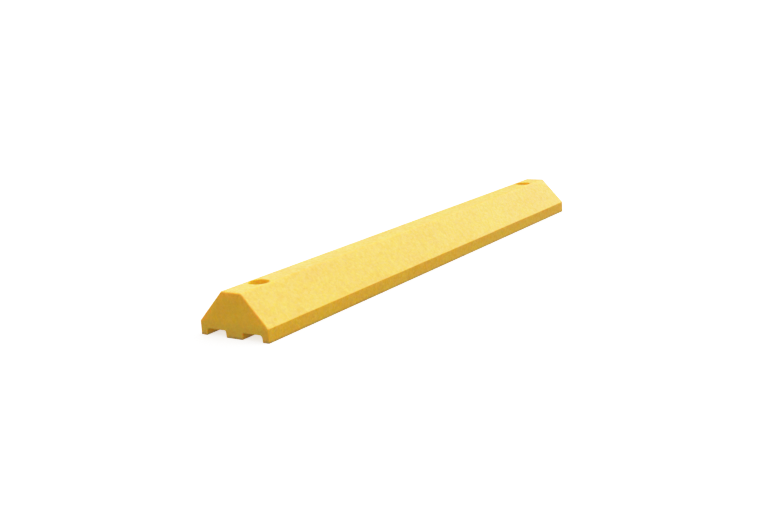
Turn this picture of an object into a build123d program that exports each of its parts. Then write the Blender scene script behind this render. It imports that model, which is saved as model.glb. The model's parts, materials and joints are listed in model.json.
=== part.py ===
"""Parking wheel stop: a moulded plastic bar, pinned to the pavement by two steel spikes on washers.

X runs along the bar, Y across it and Z up. The origin is the middle of the base, on the pavement.
"""

import os

from build123d import *

# The bar: 4 ft long, 6 in wide and 3 1/4 in high
LENGTH = 1219.2
WIDTH = 152.4
HEIGHT = 82.55
CREST_WIDTH = 44.45
SKIRT_HEIGHT = 25.4
CREST_RADIUS = 4.0
SHOULDER_RADIUS = 3.0
END_RADIUS = 2.5
BASE_RADIUS = 1.0

# The two channels under the bar, and the three feet that they leave
CHANNEL_HEIGHT = 12.7
CENTRE_FOOT_WIDTH = 35.6
OUTER_FOOT_WIDTH = 14.2
WALL_DRAFT = 1.2
ROOF_INNER_RADIUS = 2.5
ROOF_OUTER_RADIUS = 5.0

# The stepped holes: a clearance hole through the centre foot, and a wide socket above it
HOLE_INSET = 76.2
HOLE_RADIUS = 7.94
SOCKET_RADIUS = 19.05
SOCKET_DEPTH = 50.8
RIM_RADIUS = 0.8

# Half-inch flat washers
WASHER_RADIUS = 17.46
WASHER_BORE_RADIUS = 7.14
WASHER_THICKNESS = 2.77
WASHER_EDGE_RADIUS = 0.4

# Half-inch spikes, 12 in long under a forged head
SHANK_RADIUS = 6.35
SPIKE_LENGTH = 304.8
POINT_LENGTH = 25.4
POINT_RADIUS = 1.2
SWELL_RADIUS = 6.9
SWELL_LENGTH = 8.0
HEAD_RADIUS = 12.7
HEAD_HEIGHT = 8.0
HEAD_RIM_HEIGHT = 4.5
HEAD_EDGE_RADIUS = 0.6
STRUCK_FACE_RADIUS = 6.5
DOME_RADIUS = 3.0

hole_x = LENGTH / 2 - HOLE_INSET
socket_floor = HEIGHT - SOCKET_DEPTH
head_seat = socket_floor + WASHER_THICKNESS
channel_inner = CENTRE_FOOT_WIDTH / 2
channel_outer = WIDTH / 2 - OUTER_FOOT_WIDTH

# Half of the bar's section, from the centre foot round to the crest: (y, z, corner radius)
BAR_CORNERS = (
    (channel_inner, 0, 0),
    (channel_inner + WALL_DRAFT, CHANNEL_HEIGHT, ROOF_INNER_RADIUS),
    (channel_outer - WALL_DRAFT, CHANNEL_HEIGHT, ROOF_OUTER_RADIUS),
    (channel_outer, 0, 0),
    (WIDTH / 2, 0, 0),
    (WIDTH / 2, SKIRT_HEIGHT, SHOULDER_RADIUS),
    (CREST_WIDTH / 2, HEIGHT, CREST_RADIUS),
)

# Half of a spike's section, from its point up to its struck face, with heights above the head's seat:
# (radius, height, corner radius)
SPIKE_CORNERS = (
    (POINT_RADIUS, -SPIKE_LENGTH, 0),
    (SHANK_RADIUS, POINT_LENGTH - SPIKE_LENGTH, 0),
    (SHANK_RADIUS, -SWELL_LENGTH, 0),
    (SWELL_RADIUS, 0, 0),
    (HEAD_RADIUS, 0, HEAD_EDGE_RADIUS),
    (HEAD_RADIUS, HEAD_RIM_HEIGHT, DOME_RADIUS),
    (STRUCK_FACE_RADIUS, HEAD_HEIGHT, DOME_RADIUS),
)


def half_outline(corners, top):
    """Draws a rounded outline from the axis at the first corner's level to the axis at the top."""
    points = [(across, up) for across, up, _ in corners]
    radii = [radius for _, _, radius in corners]
    return FilletPolyline((0, points[0][1]), *points, (0, top), radius=radii)


def is_end_rim(edge):
    """True for an end face's edges along its skirts, slopes and crest, and not round its channels."""
    middle = edge.center()
    on_skirt = abs(middle.Y) > WIDTH / 2 - SHOULDER_RADIUS
    return on_skirt or middle.Z > SKIRT_HEIGHT - SHOULDER_RADIUS


def is_base_edge(edge):
    """True for the long bottom edges of the two skirts."""
    middle = edge.center()
    return middle.Z < BASE_RADIUS and abs(middle.Y) > WIDTH / 2 - BASE_RADIUS


os.makedirs("parts", exist_ok=True)

with BuildPart() as stop_body:
    with BuildSketch(Plane.YZ):
        with BuildLine():
            section_half = half_outline(BAR_CORNERS, HEIGHT)
            mirror(section_half, about=Plane.YZ)
        make_face()
    extrude(amount=LENGTH / 2, both=True)
    end_edges = stop_body.faces().filter_by(Axis.X).edges()
    fillet(end_edges.filter_by(is_end_rim), radius=END_RADIUS)
    long_edges = stop_body.edges().filter_by(Axis.X)
    fillet(long_edges.filter_by(is_base_edge), radius=BASE_RADIUS)
    with Locations((-hole_x, 0, HEIGHT), (hole_x, 0, HEIGHT)):
        CounterBoreHole(HOLE_RADIUS, SOCKET_RADIUS, SOCKET_DEPTH)
    socket_rims = stop_body.edges().group_by(Axis.Z)[-1].filter_by(GeomType.CIRCLE)
    fillet(socket_rims, radius=RIM_RADIUS)

stop_body.part.label = "stop_body"
export_step(stop_body.part, "parts/stop_body.step")

for side, x in (("left", -hole_x), ("right", hole_x)):
    with BuildPart() as washer:
        with BuildSketch(Plane((x, 0, socket_floor))):
            Circle(WASHER_RADIUS)
            Circle(WASHER_BORE_RADIUS, mode=Mode.SUBTRACT)
        extrude(amount=WASHER_THICKNESS)
        outer_edges = washer.edges().filter_by(GeomType.CIRCLE).group_by(SortBy.RADIUS)[-1]
        fillet(outer_edges, radius=WASHER_EDGE_RADIUS)

    washer.part.label = f"{side}_washer"
    export_step(washer.part, f"parts/{side}_washer.step")

    with BuildPart() as spike:
        with BuildSketch(Plane((x, 0, head_seat), x_dir=(1, 0, 0), z_dir=(0, -1, 0))):
            with BuildLine():
                spike_half = half_outline(SPIKE_CORNERS, HEAD_HEIGHT)
                Line(spike_half @ 1, spike_half @ 0)
            make_face()
        revolve(axis=Axis((x, 0, 0), (0, 0, 1)))

    spike.part.label = f"{side}_spike"
    export_step(spike.part, f"parts/{side}_spike.step")
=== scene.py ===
import json
import math

import bmesh
import bpy
from mathutils import Euler, Matrix, Vector, geometry, kdtree, noise


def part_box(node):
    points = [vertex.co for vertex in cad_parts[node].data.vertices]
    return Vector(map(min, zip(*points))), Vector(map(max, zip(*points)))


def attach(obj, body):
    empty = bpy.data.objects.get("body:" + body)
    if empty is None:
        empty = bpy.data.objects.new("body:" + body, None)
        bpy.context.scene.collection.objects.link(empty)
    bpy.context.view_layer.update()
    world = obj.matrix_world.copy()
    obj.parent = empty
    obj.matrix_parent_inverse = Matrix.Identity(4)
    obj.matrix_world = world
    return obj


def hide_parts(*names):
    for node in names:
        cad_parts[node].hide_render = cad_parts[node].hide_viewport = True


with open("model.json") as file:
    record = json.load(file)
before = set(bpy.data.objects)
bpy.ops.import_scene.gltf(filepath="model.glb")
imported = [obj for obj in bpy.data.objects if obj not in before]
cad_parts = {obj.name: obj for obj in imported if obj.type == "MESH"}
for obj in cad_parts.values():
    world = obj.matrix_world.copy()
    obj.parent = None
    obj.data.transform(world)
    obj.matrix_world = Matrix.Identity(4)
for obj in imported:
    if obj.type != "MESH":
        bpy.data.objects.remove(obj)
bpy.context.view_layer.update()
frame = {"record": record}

# A parking wheel stop: a moulded plastic bar, with a washer and a ground spike in each of its holes.
# Meshes are worked out in millimetres and scaled to metres when they are made.
MM = 0.001

# The bar's section, as in the CAD: sharp corners and their radii
CREST_HALF = 22.225
SKIRT_HEIGHT = 25.4
CHANNEL_HEIGHT = 12.7
CENTRE_FOOT_HALF = 17.8
OUTER_FOOT_WIDTH = 14.2
WALL_DRAFT = 1.2
CREST_RADIUS = 4.0
SHOULDER_RADIUS = 3.0
BASE_RADIUS = 1.0
FOOT_RADIUS = 0.8
ROOF_INNER_RADIUS = 2.5
ROOF_OUTER_RADIUS = 5.0
END_RADIUS = 2.5
CHANNEL_END_RADIUS = 0.4
CAP_MARGIN = 0.2
LEAST_RADIUS = 0.1

# The stepped holes
SOCKET_RADIUS = 19.05
SOCKET_DEPTH = 50.8
RIM_RADIUS = 0.8
SOCKET_CORNER = 0.9
HOLE_RADIUS = 7.94
HOLE_EDGE = 0.5

# How finely the bar's mesh is divided. Each hole is joined to the rest by a square patch round it.
SPACING = 4.2
SUPPORT = 1.1
ARC_STEPS = 6
PATCH_REACH = 24.0
COLUMNS = 8
HOLE_STATIONS = 10
SOCKET_FLOOR_SHARES = (0.1, 0.4, 0.7, 1)
BORE_STEPS = 8
CAP_SPACING = 5.0
CAP_CLEARANCE = 3.1

# Tolerances: for a station on a patch's edge, and for points to be joined on an end face or a lathe
SLACK = 0.01
CAP_JOIN = 1e-5
LATHE_JOIN = 1e-4

# The bar's uneven surface: how large each pattern is, and how deep
SLOW_WAVE = (130, 0.22)
QUICK_WAVE = (31, 0.09)
QUICK_PLACE = Vector((7, 3, 5))
DENT_SIZE = 8.5
DENT_DEPTH = 0.2
DENT_FROM = 0.3
DENT_PLACE = Vector((1, 9, 4))
WAVE_RISE = 4.0
HOLLOW_WEAR = 0.4

# Spikes
SHANK_RADIUS = 6.35
POINT_LENGTH = 25.4
POINT_RADIUS = 1.2
TIP_ROUNDING = 0.5
POINT_ROUNDING = 12
SWELL_RADIUS = 6.9
SWELL_LENGTH = 8.0
SWELL_ROUNDING = 20
NECK_ROUNDING = 0.5
HEAD_HEIGHT = 8.0
HEAD_RIM_HEIGHT = 4.5
HEAD_EDGE_RADIUS = 0.6
STRUCK_FACE_RADIUS = 6.5
DOME_RADIUS = 3.0
SPIKE_SPACING = 1.2
SPIKE_TURNS = 48
SPIKE_FORGING = (9, 0.16)

# Washers
WASHER_BORE_RADIUS = 7.14
WASHER_EDGE_RADIUS = 0.4
WASHER_CRISP_RADIUS = 0.15
WASHER_SPACING = 1.6
WASHER_ARC_STEPS = 3
WASHER_TURNS = 72
WASHER_STAMPING = (6, 0.05)

# Marks of the header's gripping dies, on two sides of each spike under its head
GRIP_START = 13.0
GRIP_PITCH = 4.8
GRIP_COUNT = 5
GRIP_DEPTH = 0.4
GRIP_SPREAD = 0.3

SIDES = ("left", "right")

record = frame["record"]
BODY_OF = {node: body for body, nodes in record["behaviour"]["bodies"].items() for node in nodes}
SLOT_OF = {part["node"]: part["material_slot"] for part in record["subparts"]}


def box_mm(node):
    """A CAD node's lowest and highest corners in millimetres."""
    lo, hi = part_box(node)
    return lo / MM, hi / MM


def quarter_turn():
    """Even angles from nothing to a right angle."""
    return [math.pi / 2 * i / ARC_STEPS for i in range(ARC_STEPS + 1)]


def swell(place, size, depth, offset):
    """Noise between nothing and depth, in a pattern of that size."""
    return depth * (0.5 + noise.noise(place / size + offset) / 2)


def split(start, end, count):
    """Points from start to end, both left out: count even steps between two support points."""
    if count == 0:
        return []
    step = (end - start).normalized() * SUPPORT
    return [(start + step).lerp(end - step, i / count) for i in range(count + 1)]


def rounded(corners, counts, steps=ARC_STEPS):
    """Rounds an open line's corners (across, up, radius) and splits each straight run into its count of
    steps. Gives a list of (point, share of bend)."""
    points = [Vector(corner[:2]) for corner in corners]
    line = [(points[0], 0.0)]
    last = points[0]
    for before, at, after, corner, count in zip(points, points[1:], points[2:], corners[1:], counts):
        radius = corner[2]
        to_before = (before - at).normalized()
        to_after = (after - at).normalized()
        half = to_before.angle(to_after) / 2
        reach = radius / math.tan(half)
        start, end = at + to_before * reach, at + to_after * reach
        centre = at + (to_before + to_after).normalized() * radius / math.sin(half)
        line += [(p, 0.0) for p in split(last, start, count)]
        turn = (start - centre).angle_signed(end - centre)
        for i in range(steps + 1):
            spoke = start - centre
            spoke.rotate(Matrix.Rotation(-turn * i / steps, 2))
            line.append((centre + spoke, math.sin(math.pi * (i + 0.5) / (steps + 1))))
        last = end
    line += [(p, 0.0) for p in split(last, points[-1], counts[-1])]
    line.append((points[-1], 0.0))
    return line


def run_counts(corners, spacing):
    """How many steps each straight run between round corners takes, or 0 for a short one."""
    points = [Vector(corner[:2]) for corner in corners]
    reaches = [0.0]
    for before, at, after, corner in zip(points, points[1:], points[2:], corners[1:]):
        reaches.append(corner[2] / math.tan((before - at).angle(after - at) / 2))
    reaches.append(0.0)
    runs = [(b - a).length - from_a - from_b - 2 * SUPPORT
            for a, b, from_a, from_b in zip(points, points[1:], reaches, reaches[1:])]
    return [max(1, round(run / spacing)) if run > SUPPORT else 0 for run in runs]


def tangent_columns(half_width):
    """Positions across a flat, from its middle to its edge, on spokes at even angles round a hole."""
    edge = math.atan2(half_width, PATCH_REACH)
    return [PATCH_REACH * math.tan(edge * i / COLUMNS) for i in range(COLUMNS + 1)]


def inset_corners(corners, insets):
    """The corners after each side has moved into the material by its inset, with radii to suit."""
    points = [Vector(corner[:2]) for corner in corners]
    sides = [(b - a).normalized() for a, b in zip(points, points[1:])]
    walls = [Vector((-side.y, side.x)) for side in sides]
    moved = [(*(points[0] + walls[0] * insets[0]), 0)]
    for k in range(1, len(points) - 1):
        n, m = walls[k - 1], walls[k]
        to_n, to_m = insets[k - 1], insets[k]
        cross = n.x * m.y - n.y * m.x
        shift = Vector((to_n * m.y - to_m * n.y, to_m * n.x - to_n * m.x)) / cross
        hollow = cross < 0
        inset = max(to_n, to_m)
        radius = corners[k][2] + inset if hollow else max(LEAST_RADIUS, corners[k][2] - inset)
        moved.append((*(points[k] + shift), radius))
    moved.append((*(points[-1] + walls[-1] * insets[-1]), 0))
    return moved


class Section:
    """The bar's section: a loop from the middle of the centre foot, anticlockwise seen from +X."""

    def __init__(self, width, height):
        inner, outer = CENTRE_FOOT_HALF, width / 2 - OUTER_FOOT_WIDTH
        self.corners = (
            (0, 0, 0),
            (inner, 0, FOOT_RADIUS),
            (inner + WALL_DRAFT, CHANNEL_HEIGHT, ROOF_INNER_RADIUS),
            (outer - WALL_DRAFT, CHANNEL_HEIGHT, ROOF_OUTER_RADIUS),
            (outer, 0, FOOT_RADIUS),
            (width / 2, 0, BASE_RADIUS),
            (width / 2, SKIRT_HEIGHT, SHOULDER_RADIUS),
            (CREST_HALF, height, CREST_RADIUS),
            (0, height, 0),
        )
        self.counts = run_counts(self.corners, SPACING)
        self.half_width = width / 2
        plain = self.half(0, 0)
        self.wear = [bend if self.is_outside(p) else HOLLOW_WEAR * bend for p, bend in plain]
        self.rims = [self.rim_radius(p) for p, _ in plain]
        self.crest_flat = plain[-1 - COLUMNS][0].x

    def is_outside(self, point):
        return point.x > self.half_width - BASE_RADIUS - LEAST_RADIUS or point.y > SKIRT_HEIGHT

    def rim_radius(self, point):
        """The rounding between the outline at this point and the end face."""
        if self.is_outside(point):
            return END_RADIUS
        on_foot = (point.x - self.half_width + OUTER_FOOT_WIDTH) / (OUTER_FOOT_WIDTH - BASE_RADIUS)
        share = max(0, on_foot) if point.y < CHANNEL_HEIGHT / 2 else 0
        return CHANNEL_END_RADIUS + (END_RADIUS - CHANNEL_END_RADIUS) * share

    def half(self, outside, channels):
        """Half of the loop after its outside and its feet and channels have moved inward."""
        corners = inset_corners(self.corners, [channels] * 5 + [outside] * 3)
        line = rounded(corners, self.counts)
        bends = [i for i, (_, bend) in enumerate(line) if bend > 0]
        foot_edge, crest_edge = line[bends[0]][0], line[bends[-1]][0]
        foot = [(Vector((y, foot_edge.y)), 0.0) for y in tangent_columns(foot_edge.x)[:-1]]
        crest = [(Vector((y, crest_edge.y)), 0.0) for y in tangent_columns(crest_edge.x)[-2::-1]]
        return foot + line[bends[0]:bends[-1] + 1] + crest

    def loop(self, turn, margin=0.0):
        """(inset along X, across, up, wear) round the loop, a share of the way round the end rims."""
        across, along = 1 - math.cos(turn), 1 - math.sin(turn)
        half = self.half(END_RADIUS * across + margin, CHANNEL_END_RADIUS * across + margin)
        on_rim = math.sin(2 * turn)
        made = []
        for (point, _), wear, rim in zip(half, self.wear, self.rims):
            rubbed = on_rim if rim == END_RADIUS else HOLLOW_WEAR * on_rim
            made.append((rim * along, point.x, point.y, max(wear, rubbed)))
        return made + [(x, -y, z, wear) for x, y, z, wear in reversed(made[1:-1])]


def stations_along(half_length, hole_x, crest_flat):
    """Positions along the bar between its two end rims, closer together at the holes."""
    reach = math.pi / 2 - math.atan2(crest_flat, PATCH_REACH)
    patch = [crest_flat * math.tan(reach * i / HOLE_STATIONS)
             for i in range(-HOLE_STATIONS, HOLE_STATIONS + 1)]
    end = half_length - END_RADIUS - SUPPORT
    stations = []
    for start, finish in ((-end, -hole_x + patch[0]), (-hole_x + patch[-1], hole_x + patch[0]),
                          (hole_x + patch[-1], end)):
        count = round((finish - start) / SPACING)
        stations += [start + (finish - start) * i / count for i in range(count + 1)]
        if finish < end:
            centre = finish - patch[0]
            stations += [centre + x for x in patch[1:-1]]
    return stations


class BarMesh:
    """Builds the bar's mesh row by row along X, with its two stepped holes and its two end faces."""

    def __init__(self, lo, hi, hole_x):
        self.length, self.width, self.height = hi - lo
        self.hole_x = hole_x
        section = Section(self.width, self.height)
        self.bm = bmesh.new()
        self.wear = self.bm.verts.layers.float.new("wear")
        self.wave = self.bm.verts.layers.float.new("wave")
        self.hole_light = self.bm.verts.layers.float.new("hole_light")
        self.stations = stations_along(self.length / 2, hole_x, section.crest_flat)
        rims = [section.loop(turn) for turn in quarter_turn()]
        rims.append(section.loop(math.pi / 2, CAP_MARGIN))
        self.first_station = len(rims)
        self.rows = [self.end_row(rim, -1) for rim in reversed(rims)]
        self.rows += [[(x, y, z, wear) for _, y, z, wear in section.loop(0)] for x in self.stations]
        self.rows += [self.end_row(rim, 1) for rim in rims]
        self.count = len(rims[0])
        self.top = self.count // 2
        self.made = {}

    def end_row(self, rim, side):
        return [(side * (self.length / 2 - inset), y, z, wear) for inset, y, z, wear in rim]

    def add(self, x, y, z, wear=0.0, wave=1.0, hole_light=0.0):
        """A vertex, with its wear, its share of the waves, and whether it takes the painted light of
        the holes.
        """
        vert = self.bm.verts.new((x, y, z))
        vert[self.wear] = wear
        vert[self.wave] = wave
        vert[self.hole_light] = hole_light
        return vert

    def vert(self, i, j):
        """The vertex of row i at the section's index j, made when it is first asked for."""
        j %= self.count
        if (i, j) not in self.made:
            x, y, z, wear = self.rows[i][j]
            self.made[i, j] = self.add(x, y, z, wear, min(1.0, z / WAVE_RISE))
        return self.made[i, j]

    def is_open(self, i, j):
        """True for the faces that a hole's patch takes the place of."""
        column = j % self.count
        near_top = self.top - COLUMNS <= column < self.top + COLUMNS
        near_foot = column < COLUMNS or column >= self.count - COLUMNS
        station = i - self.first_station
        between_rims = 0 <= station < len(self.stations) - 1
        if not (between_rims and (near_top or near_foot)):
            return False
        x = (self.stations[station] + self.stations[station + 1]) / 2
        return abs(abs(x) - self.hole_x) < PATCH_REACH - SLACK

    def sheet(self):
        """All the faces between rows, apart from the holes' patches."""
        for i in range(len(self.rows) - 1):
            for j in range(self.count):
                if not self.is_open(i, j):
                    self.bm.faces.new((self.vert(i, j), self.vert(i, j + 1),
                                       self.vert(i + 1, j + 1), self.vert(i + 1, j)))

    def perimeter(self, centre_x, middle, mirror):
        """The vertices round a hole's patch, anticlockwise from above, from its corner at +X, -Y."""
        rows = [i + self.first_station for i, x in enumerate(self.stations)
                if abs(x - centre_x) < PATCH_REACH + SLACK]
        columns = [middle + mirror * k for k in range(-COLUMNS, COLUMNS + 1)]
        ring = [(rows[-1], j) for j in columns[:-1]] + [(i, columns[-1]) for i in rows[:0:-1]]
        ring += [(rows[0], j) for j in columns[:0:-1]] + [(i, columns[0]) for i in rows[:-1]]
        return [self.vert(i, j) for i, j in ring]

    def hole_levels(self):
        """(radius, height, share of the way to the foot's spokes, wear) down a stepped hole's wall."""
        floor_z = self.height - SOCKET_DEPTH
        for turn in quarter_turn():
            yield (SOCKET_RADIUS + RIM_RADIUS * (1 - math.sin(turn)),
                   self.height - RIM_RADIUS * (1 - math.cos(turn)), 0, math.sin(2 * turn))
        wall_top, wall_foot = self.height - RIM_RADIUS - SUPPORT, floor_z + SOCKET_CORNER
        count = round((wall_top - wall_foot) / SPACING)
        for i in range(count):
            yield SOCKET_RADIUS, wall_top + (wall_foot - wall_top) * i / count, 0, 0
        for turn in quarter_turn():
            yield (SOCKET_RADIUS - SOCKET_CORNER * (1 - math.cos(turn)),
                   floor_z + SOCKET_CORNER * (1 - math.sin(turn)), 0, 0)
        inner, outer = HOLE_RADIUS + HOLE_EDGE, SOCKET_RADIUS - SOCKET_CORNER
        for share in SOCKET_FLOOR_SHARES:
            yield outer + (inner - outer) * share, floor_z, share, 0
        wall_top, wall_foot = floor_z - HOLE_EDGE, HOLE_EDGE
        for i in range(BORE_STEPS + 1):
            yield HOLE_RADIUS, wall_top + (wall_foot - wall_top) * i / BORE_STEPS, 1, 0
        yield inner, 0, 1, 0

    def bore(self, centre_x):
        """One stepped hole, from the crest down through the centre foot."""
        top = self.perimeter(centre_x, self.top, -1)
        foot = self.perimeter(centre_x, 0, 1)
        top_angles = [math.atan2(v.co.y, v.co.x - centre_x) for v in top]
        foot_angles = [math.atan2(v.co.y, v.co.x - centre_x) for v in foot]
        rings = [top]
        for radius, z, low, wear in self.hole_levels():
            # The walls and floors of the holes are painted paler: painted light in the holes.
            hole_light = 1.0 if radius <= SOCKET_RADIUS else 0.0
            ring = []
            for a, b in zip(top_angles, foot_angles):
                angle = a + low * ((b - a + math.pi) % math.tau - math.pi)
                x, y = centre_x + radius * math.cos(angle), radius * math.sin(angle)
                ring.append(self.add(x, y, z, wear, 0.0, hole_light))
            rings.append(ring)
        rings.append(foot)
        for upper, lower in zip(rings, rings[1:]):
            for k in range(len(upper)):
                after = (k + 1) % len(upper)
                self.bm.faces.new((upper[k], upper[after], lower[after], lower[k]))

    def cap_net(self, rim_points):
        """Even points over an end face's box, apart from those too near to the rim."""
        tree = kdtree.KDTree(len(rim_points))
        for k, point in enumerate(rim_points):
            tree.insert((*point, 0), k)
        tree.balance()
        rise = CAP_SPACING * math.sin(math.pi / 3)
        net = []
        for row in range(int(self.height / rise)):
            for column in range(int(self.width / CAP_SPACING) + 1):
                across = CAP_SPACING * (column + 0.5 * (row % 2)) - self.width / 2
                spot = Vector((across, rise * (row + 0.5)))
                if tree.find((*spot, 0))[2] > CAP_CLEARANCE:
                    net.append(spot)
        return net

    def cap(self, row):
        """Fills an end face inside the last row with an even net of triangles."""
        rim = [self.vert(row, j) for j in range(self.count)]
        points = [Vector((v.co.y, v.co.z)) for v in rim]
        made, _, faces, origins, _, _ = geometry.delaunay_2d_cdt(
            points + self.cap_net(points), [], [list(range(self.count))], 1, CAP_JOIN)
        x = rim[0].co.x
        verts = {}
        for k in {k for face in faces for k in face}:
            source = [n for n in origins[k] if n < self.count]
            verts[k] = rim[source[0]] if source else self.add(x, *made[k])
        for face in faces:
            self.bm.faces.new([verts[k] for k in face])

    def cap(self, row):
        """Fills an end face inside the last row with an even net of triangles."""
        rim = [self.vert(row, j) for j in range(self.count)]
        points = [Vector((v.co.y, v.co.z)) for v in rim]
        tree = kdtree.KDTree(len(points))
        for k, point in enumerate(points):
            tree.insert((*point, 0), k)
        tree.balance()
        rise = CAP_SPACING * math.sin(math.pi / 3)
        inner = []
        for r in range(int(self.height / rise)):
            for c in range(int(self.width / CAP_SPACING) + 1):
                spot = Vector((-self.width / 2 + CAP_SPACING * (c + 0.5 * (r % 2)), rise * (r + 0.5)))
                if tree.find((*spot, 0))[2] > 0.62 * CAP_SPACING:
                    inner.append(spot)
        made, _, faces, origins, _, _ = geometry.delaunay_2d_cdt(
            points + inner, [], [list(range(self.count))], 1, 1e-5)
        used = {k for face in faces for k in face}
        x = rim[0].co.x
        verts = {}
        for k in used:
            source = [n for n in origins[k] if n < self.count]
            verts[k] = rim[source[0]] if source else self.add(x, made[k].x, made[k].y)
        for face in faces:
            self.bm.faces.new([verts[k] for k in face])

    def weather(self):
        """Sinks the surface by a few tenths of a millimetre, and dents the worn edges."""
        self.bm.normal_update()
        moves = []
        for v in self.bm.verts:
            sink = swell(v.co, *SLOW_WAVE, Vector()) + swell(v.co, *QUICK_WAVE, QUICK_PLACE)
            dent = max(0, noise.noise(v.co / DENT_SIZE + DENT_PLACE) - DENT_FROM) * DENT_DEPTH
            moves.append(v.normal * -v[self.wave] * (sink + v[self.wear] * dent))
        for v, move in zip(self.bm.verts, moves):
            v.co += move

    def build(self, name):
        self.sheet()
        for side in (-1, 1):
            self.bore(side * self.hole_x)
        self.cap(0)
        self.cap(len(self.rows) - 1)
        bmesh.ops.recalc_face_normals(self.bm, faces=self.bm.faces)
        self.weather()
        return finish_mesh(self.bm, name)


def finish_mesh(bm, name):
    """Turns a mesh in millimetres into a smooth-shaded object in metres."""
    bmesh.ops.transform(bm, matrix=Matrix.Scale(MM, 4), verts=bm.verts)
    mesh = bpy.data.meshes.new(name)
    bm.to_mesh(mesh)
    bm.free()
    mesh.shade_smooth()
    piece = bpy.data.objects.new(name, mesh)
    bpy.context.scene.collection.objects.link(piece)
    return piece


def lathe(outline, centre, turns, closed=False):
    """A mesh turned about the vertical line through centre, from (radius, height) points."""
    bm = bmesh.new()
    strips = []
    for turn in range(turns):
        spoke = Matrix.Rotation(math.tau * turn / turns, 3, "Z") @ Vector((1, 0, 0))
        strips.append([bm.verts.new(Vector((centre.x, centre.y, z)) + r * spoke) for r, z in outline])
    steps = range(len(outline) if closed else len(outline) - 1)
    for strip, after in zip(strips, strips[1:] + strips[:1]):
        for low, high in ((step, (step + 1) % len(outline)) for step in steps):
            bm.faces.new((strip[low], after[low], after[high], strip[high]))
    bmesh.ops.remove_doubles(bm, verts=bm.verts, dist=LATHE_JOIN)
    bmesh.ops.recalc_face_normals(bm, faces=bm.faces)
    return bm


def roughen(bm, pattern, seed):
    """Sinks each vertex a little, in a pattern of (size, depth)."""
    bm.normal_update()
    offset = Vector((seed, seed * 2, seed * 3))
    moves = [v.normal * -swell(v.co, *pattern, offset) for v in bm.verts]
    for v, move in zip(bm.verts, moves):
        v.co += move


def grip_depth(down, across):
    """How deep the gripping dies have cut at this distance below the head."""
    along = (down - GRIP_START) / GRIP_PITCH
    if not 0 < along < GRIP_COUNT:
        return 0.0
    facing = max(0.0, abs(across.y) / across.length - 1 + GRIP_SPREAD) / GRIP_SPREAD
    return GRIP_DEPTH * facing * (1 - math.cos(math.tau * along)) / 2


def spike_mesh(node, name, seed):
    """A forged spike: pencil point, round shank, swelling under the head and a domed, hammered head."""
    lo, hi = box_mm(node)
    centre = (lo + hi) / 2
    seat, head_radius = hi.z - HEAD_HEIGHT, (hi.x - lo.x) / 2
    corners = (
        (0, lo.z, 0),
        (POINT_RADIUS, lo.z, TIP_ROUNDING),
        (SHANK_RADIUS, lo.z + POINT_LENGTH, POINT_ROUNDING),
        (SHANK_RADIUS, seat - SWELL_LENGTH, SWELL_ROUNDING),
        (SWELL_RADIUS, seat, NECK_ROUNDING),
        (head_radius, seat, HEAD_EDGE_RADIUS),
        (head_radius, seat + HEAD_RIM_HEIGHT, DOME_RADIUS),
        (STRUCK_FACE_RADIUS, hi.z, DOME_RADIUS),
        (0, hi.z, 0),
    )
    outline = [tuple(p) for p, _ in rounded(corners, run_counts(corners, SPIKE_SPACING))]
    bm = lathe(outline, centre, SPIKE_TURNS)
    wear = bm.verts.layers.float.new("wear")
    for v in bm.verts:
        across = v.co.xy - centre.xy
        v[wear] = 1.0 if v.co.z > seat and across.length < STRUCK_FACE_RADIUS else 0.0
        v.co.xy -= across * grip_depth(seat - v.co.z, across) / SHANK_RADIUS
    roughen(bm, SPIKE_FORGING, seed)
    return finish_mesh(bm, name)


def washer_mesh(node, name, seed):
    """A stamped flat washer: rolled over on its upper edges, crisp underneath."""
    lo, hi = box_mm(node)
    centre = (lo + hi) / 2
    outer = (hi.x - lo.x) / 2
    middle = (outer + WASHER_BORE_RADIUS) / 2
    corners = (
        (middle, lo.z, 0),
        (outer, lo.z, WASHER_CRISP_RADIUS),
        (outer, hi.z, WASHER_EDGE_RADIUS),
        (WASHER_BORE_RADIUS, hi.z, WASHER_EDGE_RADIUS),
        (WASHER_BORE_RADIUS, lo.z, WASHER_CRISP_RADIUS),
        (middle, lo.z, 0),
    )
    line = rounded(corners, run_counts(corners, WASHER_SPACING), WASHER_ARC_STEPS)
    bm = lathe([tuple(p) for p, _ in line[:-1]], centre, WASHER_TURNS, closed=True)
    roughen(bm, WASHER_STAMPING, seed)
    return finish_mesh(bm, name)


class Tree:
    """A node tree, with short calls for the nodes used here."""

    def __init__(self, node_tree):
        self.nodes = node_tree.nodes
        self.links = node_tree.links

    def feed(self, socket, value):
        """Links a socket to another, or sets its value."""
        if isinstance(value, bpy.types.NodeSocket):
            self.links.new(value, socket)
        else:
            socket.default_value = value

    def add(self, kind, inputs=(), **settings):
        node = self.nodes.new(kind)
        for key, value in settings.items():
            setattr(node, key, value)
        for key, value in dict(inputs).items():
            self.feed(node.inputs[key], value)
        return node


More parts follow.
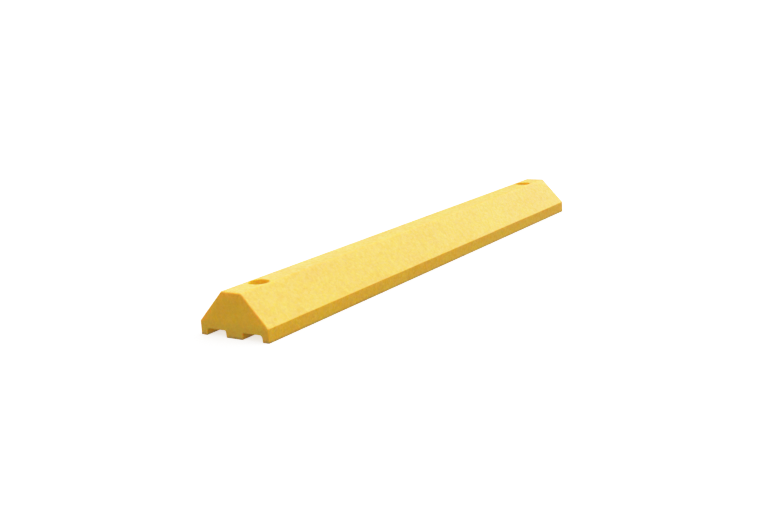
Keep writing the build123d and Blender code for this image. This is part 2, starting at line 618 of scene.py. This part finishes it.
class Paint(Tree):
    """A material with one Principled shader. Sizes are in millimetres."""

    def __init__(self, name):
        self.material = bpy.data.materials.new(name)
        self.material.use_nodes = True
        super().__init__(self.material.node_tree)
        self.shader = self.nodes["Principled BSDF"]
        coordinates = self.add("ShaderNodeTexCoord").outputs
        self.place = coordinates["Object"]
        self.facing = coordinates["Normal"]

    def stretched(self, scale):
        return self.add("ShaderNodeMapping", {"Vector": self.place, "Scale": scale}).outputs[0]

    def grain(self, size, detail=2.0, roughness=0.5, vector=None, distortion=0.0):
        """Noise with features of about that size."""
        node = self.add("ShaderNodeTexNoise", {
            "Vector": vector or self.place, "Scale": 1 / (size * MM), "Detail": detail,
            "Roughness": roughness, "Distortion": distortion})
        return node.outputs["Fac"]

    def cells(self, size):
        """Cells of about that size: the distance from their middles, and each one's three dice."""
        node = self.add("ShaderNodeTexVoronoi", {"Vector": self.place, "Scale": 1 / (size * MM)})
        dice = self.add("ShaderNodeSeparateColor", {"Color": node.outputs["Color"]})
        return node.outputs["Distance"], dice.outputs

    def part(self, vector, axis):
        return self.add("ShaderNodeSeparateXYZ", {"Vector": vector}).outputs[axis]

    def grey(self, value):
        return self.add("ShaderNodeCombineColor", {0: value, 1: value, 2: value}).outputs[0]

    def ranged(self, value, low, high, to_low=0.0, to_high=1.0):
        return self.add("ShaderNodeMapRange", {
            "Value": value, "From Min": low, "From Max": high,
            "To Min": to_low, "To Max": to_high}).outputs[0]

    def maths(self, operation, a, b=0.0):
        return self.add("ShaderNodeMath", {0: a, 1: b}, operation=operation).outputs[0]

    def mix(self, factor, a, b, blend="MIX"):
        """Mixes two colours by factor."""
        a, b = (end if isinstance(end, bpy.types.NodeSocket) else (*end, 1) for end in (a, b))
        return self.add("ShaderNodeMix", {0: factor, 6: a, 7: b},
                        data_type="RGBA", blend_type=blend).outputs[2]

    def tinted(self, colour, tints):
        """The colour after each tint in turn: (pattern, its start, its peak, most, tint)."""
        for pattern, low, high, most, tint in tints:
            colour = self.mix(self.ranged(pattern, low, high, 0.0, most), colour, tint)
        return colour

    def attribute(self, name):
        return self.add("ShaderNodeAttribute", attribute_name=name).outputs["Fac"]

    def bumps(self, *layers):
        """A normal bumped by each (pattern, depth) in turn."""
        normal = None
        for height, depth in layers:
            inputs = {"Height": height, "Strength": 1.0, "Distance": depth * MM}
            if normal is not None:
                inputs["Normal"] = normal
            normal = self.add("ShaderNodeBump", inputs).outputs[0]
        return normal

    def set(self, **values):
        """Sets or links the shader's own sockets; underscores in names stand for spaces."""
        for key, value in values.items():
            self.feed(self.shader.inputs[key.replace("_", " ")], value)


# Pigments of the plastic, its rubbed edges and grime, and painted light and shade: a glow along the
# edges, light in the holes and shade near the ground
YELLOW = (0.82, 0.475, 0.005)
YELLOW_PALE = (0.86, 0.57, 0.014)
YELLOW_DEEP = (0.77, 0.42, 0.003)
YELLOW_PINK = (0.88, 0.49, 0.018)
YELLOW_EVEN = (0.81, 0.469, 0.014)
YELLOW_WORN_AND_EDGE_GLOW = (0.90, 0.49, 0.004)
YELLOW_HOLE_LIGHT = (0.87, 0.60, 0.006)
SHADE_NEAR_GROUND = (0.25, 0.22, 0.07)
GRIME_AND_CONTACT_SHADE = (0.20, 0.145, 0.035)

# How far a face's normal turns along the bar where it begins to count as an end, and where it is one
END_TURN = (0.6, 0.95)

# Sizes of its patterns
MOTTLE = 13
GRANULE = 3.2
PEBBLE = 4.6
CLOUD = 95
STREAK = 28
STREAK_STRETCH = (0.12, 1.0, 1.0)
SPECKLE = 1.5
RUBBING = 6
GRIME_AND_SHADE_PATCH = 7
SHADE_NEAR_GROUND_HEIGHT = 32
GRIME_AND_SHADE_HEIGHT = 5
MATTE_GRAIN = 0.9
GLOW_DEPTH = 12


def moulded_colour(paint, mottle):
    """Pigment that varies from granule to granule, and in mottles, clouds and streaks."""
    _, granule = paint.cells(GRANULE)
    cloud = paint.grain(CLOUD)
    streak = paint.grain(STREAK, vector=paint.stretched(STREAK_STRETCH), distortion=0.6)
    colour = paint.tinted(YELLOW, (
        (mottle, 0.35, 0.65, 1.0, YELLOW_DEEP),
        (granule[0], 0.72, 0.95, 0.55, YELLOW_PALE),
        (granule[1], 0.80, 0.98, 0.50, YELLOW_PINK),
        (granule[2], 0.80, 0.98, 0.45, YELLOW_DEEP),
        (cloud, 0.35, 0.70, 0.35, YELLOW_PALE),
        (streak, 0.50, 0.75, 0.25, YELLOW_DEEP),
    ))
    speckle = paint.ranged(paint.grain(SPECKLE, 2.0, 0.6), 0.25, 0.75, 0.92, 1.07)
    shade = paint.maths("MULTIPLY", speckle, paint.ranged(granule[2], 0.0, 1.0, 1.055, 0.945))
    return paint.mix(1.0, colour, paint.grey(shade), "MULTIPLY")


def yellow_plastic():
    """Yellow recycled plastic: fused granules, matte grain, rubbed edges with a painted glow, painted
    light in the holes, and grime with painted shade near the ground.
    """
    paint = Paint("fused_yellow")
    mottle = paint.grain(MOTTLE, 3.0, 0.6)
    middle, pebble = paint.cells(PEBBLE)

    on_end = paint.maths("ABSOLUTE", paint.part(paint.facing, "X"))
    colour = paint.tinted(moulded_colour(paint, mottle), ((on_end, *END_TURN, 0.4, YELLOW_EVEN),))
    # Rubbed edges, tinted orange: partly wear, partly a painted glow of light passing through the
    # plastic at its edges.
    rubbed = paint.ranged(paint.grain(RUBBING, 4.0, 0.65), 0.35, 0.65, 0.5, 1.0)
    wear = paint.maths("MULTIPLY", paint.attribute("wear"), rubbed)
    colour = paint.mix(wear, colour, YELLOW_WORN_AND_EDGE_GLOW)
    # Painted light: the holes' walls are painted a paler yellow, for the light that reaches into them.
    colour = paint.mix(paint.attribute("hole_light"), colour, YELLOW_HOLE_LIGHT)
    height = paint.part(paint.place, "Z")
    # Painted shade: darker towards the ground over the lowest 32 mm, most on the end faces.
    ground_shade = paint.ranged(height, 0.0, SHADE_NEAR_GROUND_HEIGHT * MM, 0.3, 0.0)
    colour = paint.mix(
        paint.maths("MULTIPLY", ground_shade, paint.ranged(on_end, *END_TURN, 0.2, 1.0)), colour, SHADE_NEAR_GROUND)
    # Grime and painted contact shade, in patches, over the lowest 5 mm along the ground.
    low = paint.ranged(height, 0.0, GRIME_AND_SHADE_HEIGHT * MM, 1.0, 0.0)
    grime_and_shade_patches = paint.ranged(paint.grain(GRIME_AND_SHADE_PATCH, 4.0, 0.7), 0.40, 0.65, 0.35, 0.95)
    colour = paint.mix(paint.maths("MULTIPLY", low, grime_and_shade_patches), colour, GRIME_AND_CONTACT_SHADE)

    rough = paint.ranged(mottle, 0.3, 0.7, 0.50, 0.62)
    rough = paint.maths("ADD", rough, paint.maths("MULTIPLY", wear, 0.08))
    normal = paint.bumps(
        (mottle, 0.35), (paint.ranged(middle, 0.0, 0.35), 0.10),
        (paint.grain(GRANULE, 2.0, 0.6), 0.16), (paint.grain(MATTE_GRAIN, 3.0, 0.6), 0.09))
    paint.set(Base_Color=colour, Roughness=rough, Normal=normal, Specular_IOR_Level=0.6,
              Coat_Weight=paint.ranged(pebble[0], 0.0, 1.0, 0.1, 0.85), Coat_Roughness=0.35,
              Subsurface_Weight=1.0, Subsurface_Radius=(1.0, 0.25, 0.05),
              Subsurface_Scale=GLOW_DEPTH * MM)
    return paint.material


STEEL_BARE = (0.42, 0.40, 0.38)
RUST = (0.23, 0.085, 0.03)
ZINC = (0.60, 0.61, 0.62)
ZINC_GREY = (0.50, 0.51, 0.52)
ZINC_DULL = (0.38, 0.39, 0.41)

# Sizes of the steel's patterns
SPANGLE = 5.0
TARNISH = 14
RUN = 4
RUN_STRETCH = (1.0, 1.0, 0.07)
FRECKLE = 2.2
FORGING = 3.5
PLATE_SPANGLE = 3.0
PLATE_TARNISH = 8
SCRATCH = 0.8
SCRATCH_STRETCH = (0.08, 1.0, 1.0)


def spike_steel():
    """Hot-dip galvanised steel: cloudy spangle, runs, rust freckles and a bare struck face."""
    paint = Paint("galvanised_steel")
    _, dice = paint.cells(SPANGLE)
    tarnish = paint.grain(TARNISH, 4.0, 0.6)
    run = paint.grain(RUN, 3.0, 0.6, vector=paint.stretched(RUN_STRETCH))
    freckle = paint.grain(FRECKLE, 4.0, 0.7)
    colour = paint.tinted(ZINC_GREY, (
        (tarnish, 0.40, 0.62, 1.0, ZINC_DULL),
        (dice[0], 0.0, 1.0, 0.35, ZINC),
        (run, 0.48, 0.72, 0.45, ZINC_DULL),
    ))
    bare = paint.maths("MULTIPLY", paint.attribute("wear"), paint.ranged(freckle, 0.25, 0.5))
    colour = paint.mix(bare, colour, STEEL_BARE)
    rust = paint.maths("MULTIPLY", paint.ranged(freckle, 0.58, 0.70), paint.ranged(tarnish, 0.42, 0.62))
    colour = paint.mix(rust, colour, RUST)
    rough = paint.ranged(dice[0], 0.0, 1.0, 0.40, 0.55)
    rough = paint.maths("ADD", rough, paint.maths("MULTIPLY", rust, 0.3))
    rough = paint.maths("SUBTRACT", rough, paint.maths("MULTIPLY", bare, 0.1))
    paint.set(Base_Color=colour, Roughness=rough, Metallic=paint.ranged(rust, 0.0, 1.0, 1.0, 0.25),
              Normal=paint.bumps((run, 0.08), (paint.grain(FORGING, 3.0, 0.6), 0.10)))
    return paint.material


def washer_steel():
    """Zinc-plated steel: a soft spangle, dull patches and fine scratches."""
    paint = Paint("zinc_plate")
    _, dice = paint.cells(PLATE_SPANGLE)
    tarnish = paint.grain(PLATE_TARNISH, 4.0, 0.6)
    scratch = paint.grain(SCRATCH, vector=paint.stretched(SCRATCH_STRETCH))
    colour = paint.tinted(ZINC, (
        (tarnish, 0.40, 0.65, 1.0, ZINC_DULL),
        (dice[0], 0.0, 1.0, 0.30, ZINC_DULL),
    ))
    paint.set(Base_Color=colour, Roughness=paint.ranged(dice[0], 0.0, 1.0, 0.28, 0.42), Metallic=1.0,
              Normal=paint.bumps((scratch, 0.02), (tarnish, 0.05)))
    return paint.material


FLOOR_REACH = 60.0
FLOOR_COLOUR = (0.74, 0.74, 0.74, 1)
FLOOR_GLOW = 0.9
KEY_FROM = Vector((0.42, -0.25, 0.87))
KEY_ANGLE = math.radians(40)
KEY_STRENGTH = 1.75

# The studio's levels, below and above its horizon, and the heights between which they change
SKY = (0.37, 1.02)
HORIZON = (-0.12, 0.12)
SKY_IN_GLOSS = (0.17, 0.64)
GLOSS_HORIZON = (-0.12, 0.25)
SKY_BEHIND = 2.0

# Softboxes that only show in the gloss: (which way, cosine at the faint edge, level in the middle).
# One is beyond the far end; the other is the pale backdrop.
SOFTBOXES = (((0.98, -0.13, 0.29), 0.86, 1.5), ((0.45, 0.87, 0.20), 0.75, 0.75))


def floor():
    """A plain pale floor. It takes shadows but throws no light back, so the sides keep their colour."""
    bm = bmesh.new()
    bmesh.ops.create_grid(bm, x_segments=1, y_segments=1, size=FLOOR_REACH / MM)
    piece = finish_mesh(bm, "floor")
    paint = Paint("floor_white")
    paint.set(Base_Color=FLOOR_COLOUR, Roughness=0.9, Specular_IOR_Level=0.1,
              Emission_Color=FLOOR_COLOUR, Emission_Strength=FLOOR_GLOW)
    piece.data.materials.append(paint.material)
    piece.visible_diffuse = False
    piece.visible_glossy = False


def key_light():
    """A soft overhead key."""
    key = bpy.data.lights.new("key", "SUN")
    key.energy = KEY_STRENGTH
    key.angle = KEY_ANGLE
    lamp = bpy.data.objects.new("key", key)
    lamp.rotation_mode = "QUATERNION"
    lamp.rotation_quaternion = KEY_FROM.to_track_quat("Z", "Y")
    bpy.context.scene.collection.objects.link(lamp)


def studio():
    """A bright sky over dark ground, softboxes for the gloss, and plain white behind the object."""
    world = bpy.data.worlds.new("studio")
    bpy.context.scene.world = world
    world.use_nodes = True
    tree = Tree(world.node_tree)
    place = tree.add("ShaderNodeTexCoord").outputs["Generated"]
    height = tree.add("ShaderNodeSeparateXYZ", {"Vector": place}).outputs["Z"]
    ray = tree.add("ShaderNodeLightPath").outputs

    def rise(along, span, levels):
        """A level that goes smoothly from the first to the second over that span."""
        return tree.add("ShaderNodeMapRange", {
            "Value": along, "From Min": span[0], "From Max": span[1],
            "To Min": levels[0], "To Max": levels[1]}, interpolation_type="SMOOTHSTEP").outputs[0]

    level = rise(height, HORIZON, SKY)
    in_gloss = rise(height, GLOSS_HORIZON, SKY_IN_GLOSS)
    for centre, edge, middle in SOFTBOXES:
        toward = tree.add("ShaderNodeVectorMath", {0: place, 1: Vector(centre).normalized()},
                          operation="DOT_PRODUCT").outputs["Value"]
        box = rise(toward, (edge, 1.0), (0.0, middle))
        in_gloss = tree.add("ShaderNodeMath", {0: in_gloss, 1: box}).outputs[0]
    for kind, other in (("Is Glossy Ray", in_gloss), ("Is Camera Ray", SKY_BEHIND)):
        level = tree.add("ShaderNodeMix", {0: ray[kind], 2: level, 3: other}).outputs[0]
    background = tree.nodes["Background"]
    tree.feed(background.inputs["Color"], (1, 1, 1, 1))
    tree.feed(background.inputs["Strength"], level)


# The tone curve: (level in the scene, level shown)
TONE = ((0.0, 0.0), (0.4, 0.4), (0.72, 0.71), (1.0, 0.88), (1.3, 0.965), (1.7, 1.01), (2.0, 1.04))


def tone():
    """Leaves tones alone up to the bright yellows, and eases them off from there to white."""
    view = bpy.context.scene.view_settings
    view.view_transform = "Standard"
    view.use_curve_mapping = True
    curves = view.curve_mapping
    curves.clip_max_x = curves.clip_max_y = TONE[-1][0]
    both = curves.curves[3]
    both.points[0].location, both.points[1].location = TONE[0], TONE[-1]
    for spot in TONE[1:-1]:
        both.points.new(*spot)
    curves.update()


CAMERA_AT = Vector((-1.9144, -1.1761, 0.5194))
CAMERA_YAW = math.radians(33.66)
CAMERA_PITCH = math.radians(13.19)
CAMERA_ROLL = math.radians(-3.55)
CAMERA_LENS = 50.18


def camera():
    """A low three-quarter view along the bar, from beyond its -X end."""
    data = bpy.data.cameras.new("camera")
    data.lens = CAMERA_LENS
    data.clip_end = 2 * FLOOR_REACH
    shot = bpy.data.objects.new("camera", data)
    aim = Euler((math.pi / 2 - CAMERA_PITCH, 0, CAMERA_YAW - math.pi / 2)).to_matrix()
    shot.rotation_mode = "QUATERNION"
    shot.rotation_quaternion = (aim @ Matrix.Rotation(CAMERA_ROLL, 3, "Z")).to_quaternion()
    shot.location = CAMERA_AT
    bpy.context.scene.collection.objects.link(shot)
    bpy.context.scene.camera = shot


def dress(piece, material, node):
    """Gives a piece its material, and the body of the CAD node that it stands for."""
    body, slot = BODY_OF[node], SLOT_OF[node]
    piece.data.materials.append(material)
    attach(piece, body)
    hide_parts(node)


camera()
key_light()
studio()
floor()

left_lo, left_hi = box_mm("left_spike")
hole_x = -(left_lo.x + left_hi.x) / 2
bar = BarMesh(*box_mm("stop_body"), hole_x).build("bar")
dress(bar, yellow_plastic(), "stop_body")

spike_paint, washer_paint = spike_steel(), washer_steel()
for seed, side in enumerate(SIDES, 1):
    spike, washer = f"{side}_spike", f"{side}_washer"
    dress(spike_mesh(spike, f"{spike}_forged", seed), spike_paint, spike)
    dress(washer_mesh(washer, f"{washer}_stamped", seed), washer_paint, washer)

tone()
